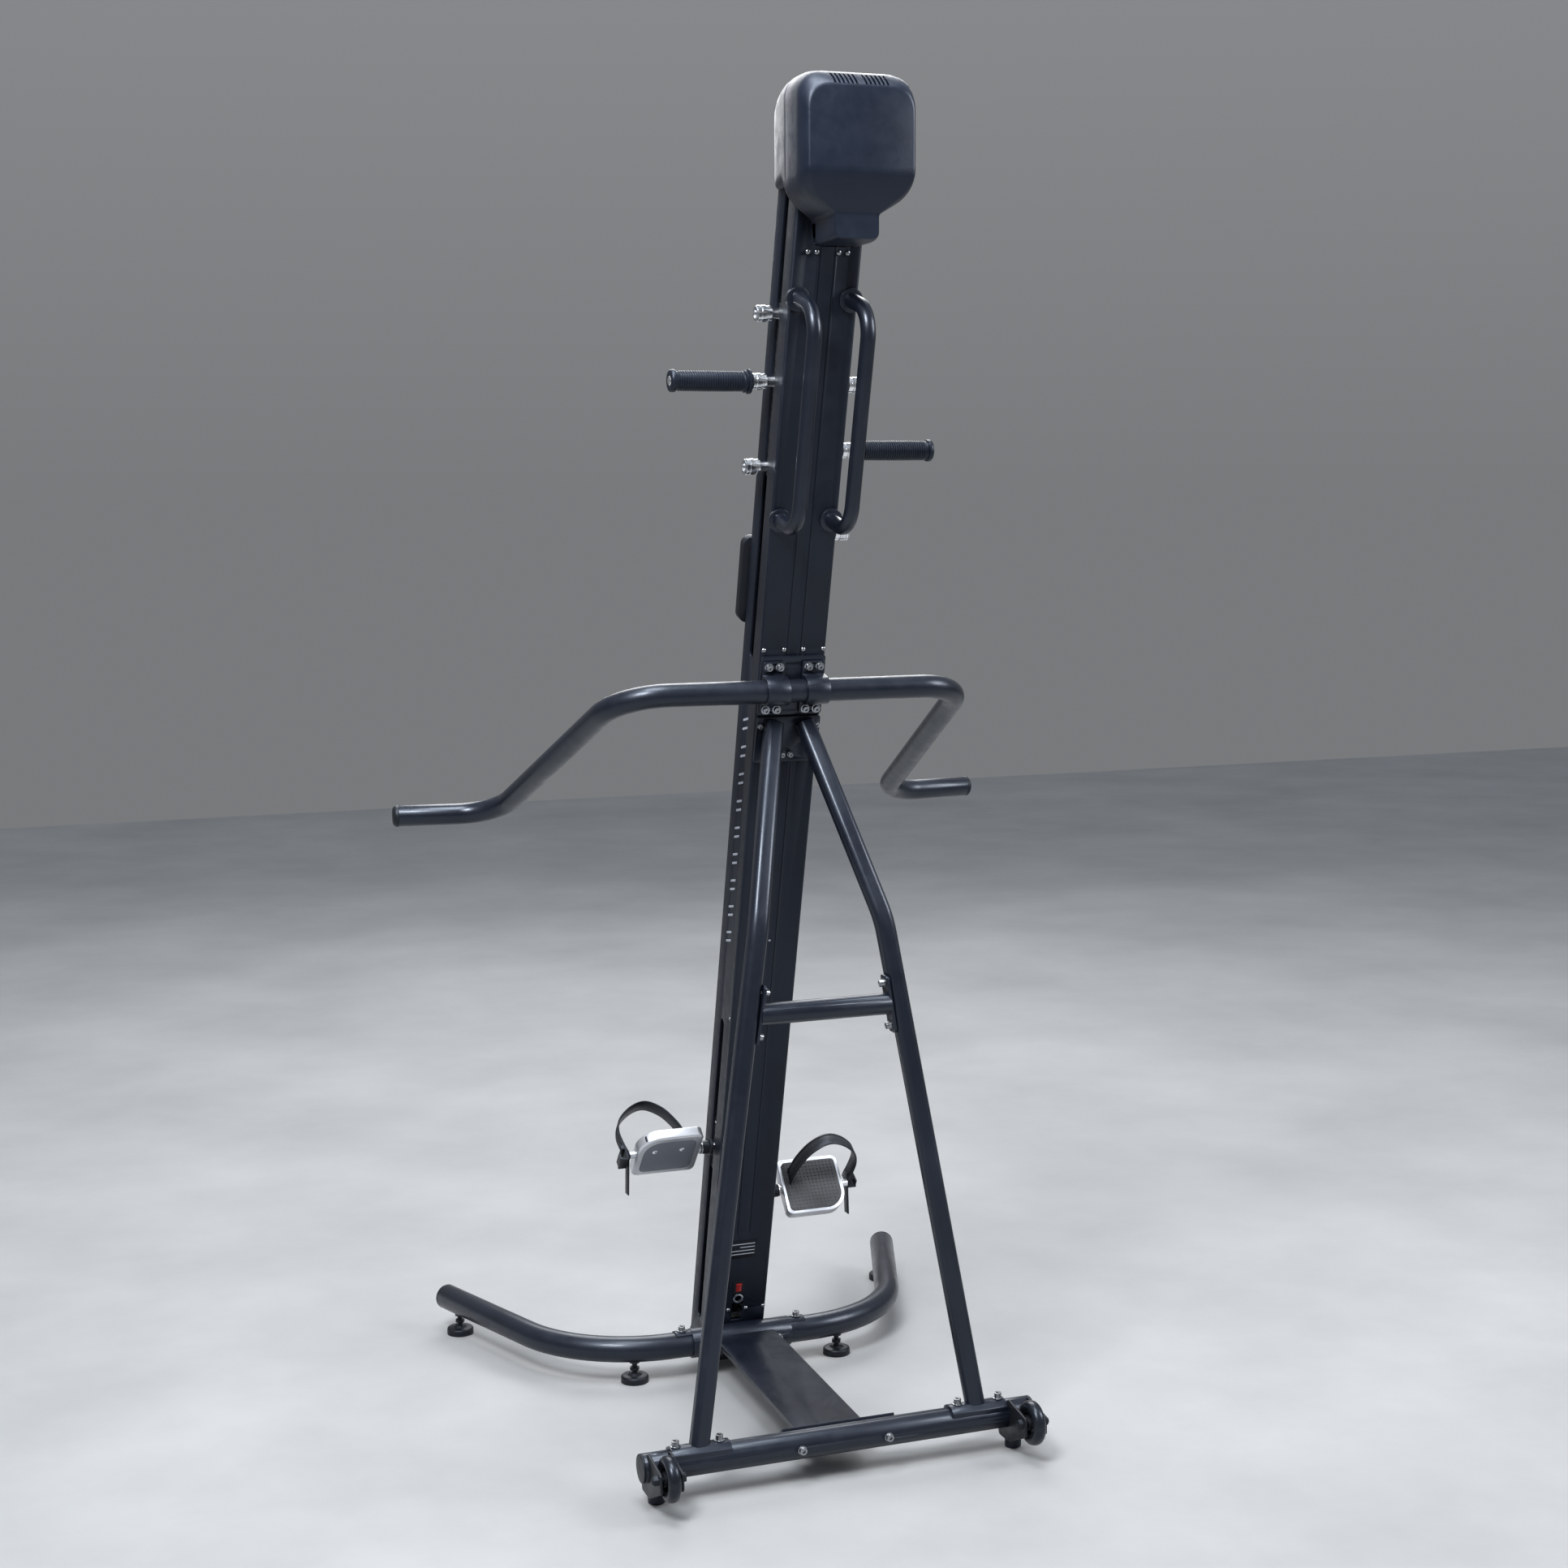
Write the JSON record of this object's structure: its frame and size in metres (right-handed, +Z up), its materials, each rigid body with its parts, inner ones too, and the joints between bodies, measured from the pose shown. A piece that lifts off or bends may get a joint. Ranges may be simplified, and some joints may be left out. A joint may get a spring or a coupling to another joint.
{
  "type": "vertical climber",
  "caption": "Leaning-column vertical climber with alternating hand and foot carriages, fixed horn handlebar, tube base and braced rear legs.",
  "frame": {"origin": "on the floor, in the middle of the footprint", "axes": "+Z up; +Y from the climber through the leaning column to the rear tube; +X to the climber's right"},
  "size_m": [1.2042, 1.1269, 2.352],
  "materials": {
    "frame_paint": "satin powder coat",
    "cover_plastic": "satin moulded",
    "black_plastic": "matte moulded",
    "grip_rubber": "soft matte",
    "pad_rubber": "textured matte",
    "strap_rubber": "satin",
    "pedal_aluminium": "cast, satin",
    "wheel_rubber": "polished",
    "socket_chrome": "polished",
    "carriage_steel": "zinc plated",
    "machined_steel": "machined, oiled",
    "screen_glass": "clear",
    "plate_foil": "printed foil",
    "rocker_red": "gloss"
  },
  "bodies": {
    "frame": {"base_sleeve": "frame_paint", "brake_yoke": "frame_paint", "console_housing": "black_plastic", "console_screen": "screen_glass", "cross_brace": "frame_paint", "drive_belt": "grip_rubber", "drive_chains": "machined_steel", "end_caps": "black_plastic", "fasteners": "machined_steel", "frame_top_plate": "frame_paint", "front_leg_left": "frame_paint", "front_leg_right": "frame_paint", "grab_loops": "frame_paint", "handlebar": "frame_paint", "handlebar_clamps": "frame_paint", "handlebar_plate": "frame_paint", "head_front_cover": "cover_plastic", "head_rear_cover": "cover_plastic", "mast_column": "frame_paint", "power_socket": "black_plastic", "rating_plate": "plate_foil", "rear_cross_tube": "frame_paint", "rear_feet": "grip_rubber", "shaft_bearings": "machined_steel", "spine_plate": "frame_paint", "support_leg_left": "frame_paint", "support_leg_right": "frame_paint", "wheel_brackets": "frame_paint"},
    "hand_right": {"hand_carriage_right": "carriage_steel", "hand_grip_right": "grip_rubber"},
    "foot_right": {"foot_carriage_right": "carriage_steel"},
    "pedal_right": {"pedal_right": "pedal_aluminium", "pedal_pad_right": "pad_rubber", "pedal_strap_right": "strap_rubber"},
    "buckle_right": {"strap_buckle_right": "black_plastic"},
    "wheel_right": {"transport_wheel_right": "wheel_rubber"},
    "sleeve_right_upper": {"release_sleeve_right_upper": "socket_chrome"},
    "sleeve_right_middle": {"release_sleeve_right_middle": "socket_chrome"},
    "sleeve_right_lower": {"release_sleeve_right_lower": "socket_chrome"},
    "foot_screw_right_inner": {"levelling_foot_right_inner": "black_plastic"},
    "foot_screw_right_outer": {"levelling_foot_right_outer": "black_plastic"},
    "hand_left": {"hand_carriage_left": "carriage_steel", "hand_grip_left": "grip_rubber"},
    "foot_left": {"foot_carriage_left": "carriage_steel"},
    "pedal_left": {"pedal_left": "pedal_aluminium", "pedal_pad_left": "pad_rubber", "pedal_strap_left": "strap_rubber"},
    "buckle_left": {"strap_buckle_left": "black_plastic"},
    "wheel_left": {"transport_wheel_left": "wheel_rubber"},
    "sleeve_left_upper": {"release_sleeve_left_upper": "socket_chrome"},
    "sleeve_left_middle": {"release_sleeve_left_middle": "socket_chrome"},
    "sleeve_left_lower": {"release_sleeve_left_lower": "socket_chrome"},
    "foot_screw_left_inner": {"levelling_foot_left_inner": "black_plastic"},
    "foot_screw_left_outer": {"levelling_foot_left_outer": "black_plastic"},
    "top_shaft": {"drive_shaft": "machined_steel", "drive_sprockets": "machined_steel"},
    "idlers": {"idler_sprockets": "machined_steel"},
    "brake_disc": {"flywheel": "machined_steel"},
    "mode_button": {"console_button": "black_plastic"},
    "rocker": {"power_rocker": "rocker_red"}
  },
  "joints": [
    {"name": "hand_slide_right", "type": "slide", "parent": "frame", "child": "hand_right", "axis": [0, 0.2588, 0.9659], "range_m": [-0.288, 0.172]},
    {"name": "foot_slide_right", "type": "slide", "parent": "frame", "child": "foot_right", "axis": [0, 0.2588, 0.9659], "range_m": [-0.288, 0.172]},
    {"name": "pedal_tilt_right", "type": "hinge", "parent": "foot_right", "child": "pedal_right", "pos_m": [0.153, -0.07213, 0.47124], "axis": [1, 0, 0], "range_deg": [-110, 10]},
    {"name": "buckle_lever_right", "type": "hinge", "parent": "pedal_right", "child": "buckle_right", "pos_m": [0.2386, -0.07979, 0.47767], "axis": [0, -0.6428, -0.766], "range_deg": [0, 70]},
    {"name": "wheel_spin_right", "type": "hinge", "parent": "frame", "child": "wheel_right", "pos_m": [0.338, 0.5183, 0.074], "axis": [1, 0, 0], "continuous": true},
    {"name": "sleeve_pull_right_upper", "type": "slide", "parent": "hand_right", "child": "sleeve_right_upper", "axis": [-1, 0, 0], "range_m": [0, 0.005], "stiffness_N_per_m": 600},
    {"name": "sleeve_pull_right_middle", "type": "slide", "parent": "hand_right", "child": "sleeve_right_middle", "axis": [-1, 0, 0], "range_m": [0, 0.005], "stiffness_N_per_m": 600},
    {"name": "sleeve_pull_right_lower", "type": "slide", "parent": "hand_right", "child": "sleeve_right_lower", "axis": [-1, 0, 0], "range_m": [0, 0.005], "stiffness_N_per_m": 600},
    {"name": "foot_screw_right_inner", "type": "slide", "parent": "frame", "child": "foot_screw_right_inner", "axis": [0, 0, -1], "range_m": [-0.007, 0.01]},
    {"name": "foot_screw_right_outer", "type": "slide", "parent": "frame", "child": "foot_screw_right_outer", "axis": [0, 0, -1], "range_m": [-0.007, 0.01]},
    {"name": "hand_slide_left", "type": "slide", "parent": "frame", "child": "hand_left", "axis": [0, 0.2588, 0.9659], "range_m": [-0.172, 0.288]},
    {"name": "foot_slide_left", "type": "slide", "parent": "frame", "child": "foot_left", "axis": [0, 0.2588, 0.9659], "range_m": [-0.172, 0.288]},
    {"name": "pedal_tilt_left", "type": "hinge", "parent": "foot_left", "child": "pedal_left", "pos_m": [-0.153, -0.10215, 0.35919], "axis": [1, 0, 0], "range_deg": [-10, 110]},
    {"name": "buckle_lever_left", "type": "hinge", "parent": "pedal_left", "child": "buckle_left", "pos_m": [-0.2386, -0.10615, 0.37857], "axis": [0, 0.866, -0.5], "range_deg": [0, 70]},
    {"name": "wheel_spin_left", "type": "hinge", "parent": "frame", "child": "wheel_left", "pos_m": [-0.338, 0.5183, 0.074], "axis": [1, 0, 0], "continuous": true},
    {"name": "sleeve_pull_left_upper", "type": "slide", "parent": "hand_left", "child": "sleeve_left_upper", "axis": [1, 0, 0], "range_m": [0, 0.005], "stiffness_N_per_m": 600},
    {"name": "sleeve_pull_left_middle", "type": "slide", "parent": "hand_left", "child": "sleeve_left_middle", "axis": [1, 0, 0], "range_m": [0, 0.005], "stiffness_N_per_m": 600},
    {"name": "sleeve_pull_left_lower", "type": "slide", "parent": "hand_left", "child": "sleeve_left_lower", "axis": [1, 0, 0], "range_m": [0, 0.005], "stiffness_N_per_m": 600},
    {"name": "foot_screw_left_inner", "type": "slide", "parent": "frame", "child": "foot_screw_left_inner", "axis": [0, 0, -1], "range_m": [-0.007, 0.01]},
    {"name": "foot_screw_left_outer", "type": "slide", "parent": "frame", "child": "foot_screw_left_outer", "axis": [0, 0, -1], "range_m": [-0.007, 0.01]},
    {"name": "shaft_spin", "type": "hinge", "parent": "frame", "child": "top_shaft", "pos_m": [0, 0.39608, 2.2186], "axis": [1, 0, 0], "range_deg": [-640, 640]},
    {"name": "idler_spin", "type": "hinge", "parent": "frame", "child": "idlers", "pos_m": [0, -0.17591, 0.0839], "axis": [1, 0, 0], "range_deg": [-640, 640]},
    {"name": "flywheel_spin", "type": "hinge", "parent": "frame", "child": "brake_disc", "pos_m": [0, 0.50066, 2.19161], "axis": [1, 0, 0], "range_deg": [-1450, 1450]},
    {"name": "mode_button_press", "type": "slide", "parent": "frame", "child": "mode_button", "axis": [0, 0.9659, -0.2588], "range_m": [0, 0.002], "stiffness_N_per_m": 800},
    {"name": "rocker_tilt", "type": "hinge", "parent": "frame", "child": "rocker", "pos_m": [0, -0.10556, 0.17065], "axis": [1, 0, 0], "range_deg": [0, 9]}
  ],
  "couplings": [
    {"joint": "foot_slide_right", "follows": "hand_slide_right", "ratio": 1},
    {"joint": "hand_slide_left", "follows": "hand_slide_right", "ratio": -1},
    {"joint": "foot_slide_left", "follows": "hand_slide_right", "ratio": -1},
    {"joint": "shaft_spin", "follows": "hand_slide_right", "rad_per_m": -35.714},
    {"joint": "idler_spin", "follows": "hand_slide_right", "rad_per_m": -35.714},
    {"joint": "flywheel_spin", "follows": "hand_slide_right", "rad_per_m": -83.333}
  ]
}
